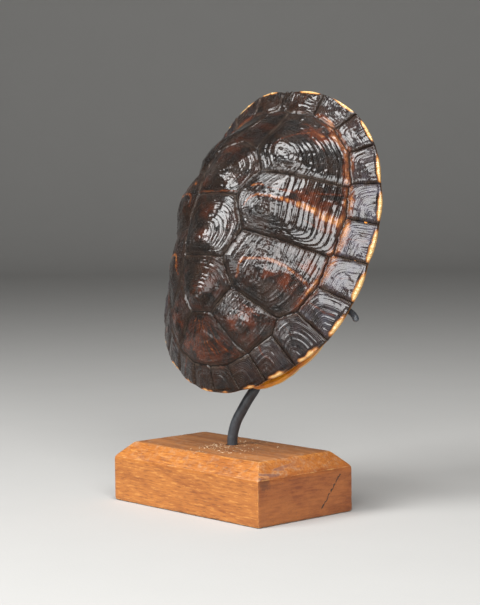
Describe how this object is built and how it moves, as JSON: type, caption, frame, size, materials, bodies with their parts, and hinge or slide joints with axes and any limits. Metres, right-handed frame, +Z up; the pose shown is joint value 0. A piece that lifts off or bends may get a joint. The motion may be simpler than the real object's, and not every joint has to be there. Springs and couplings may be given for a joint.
{
  "type": "mounted turtle shell",
  "caption": "Whole pond turtle shell, back plate and belly plate grown together, held tail down by a bent steel cradle in a bevelled hardwood block.",
  "frame": {"origin": "middle of the block's underside", "axes": "+Z up, +X along the block's long side towards the shell's right flank, -Y the way the shell's back faces"},
  "size_m": [0.175, 0.1273, 0.2757],
  "materials": {
    "horn": "dark brown varnished horn scutes with rust and amber streaks over pale bone",
    "black_steel": "satin black paint on round steel rod",
    "hardwood": "oiled reddish hardwood with worn bevels"
  },
  "bodies": {
    "root": {"shell": "horn", "steel_cradle": "black_steel", "wooden_block": "hardwood"}
  },
  "joints": []
}
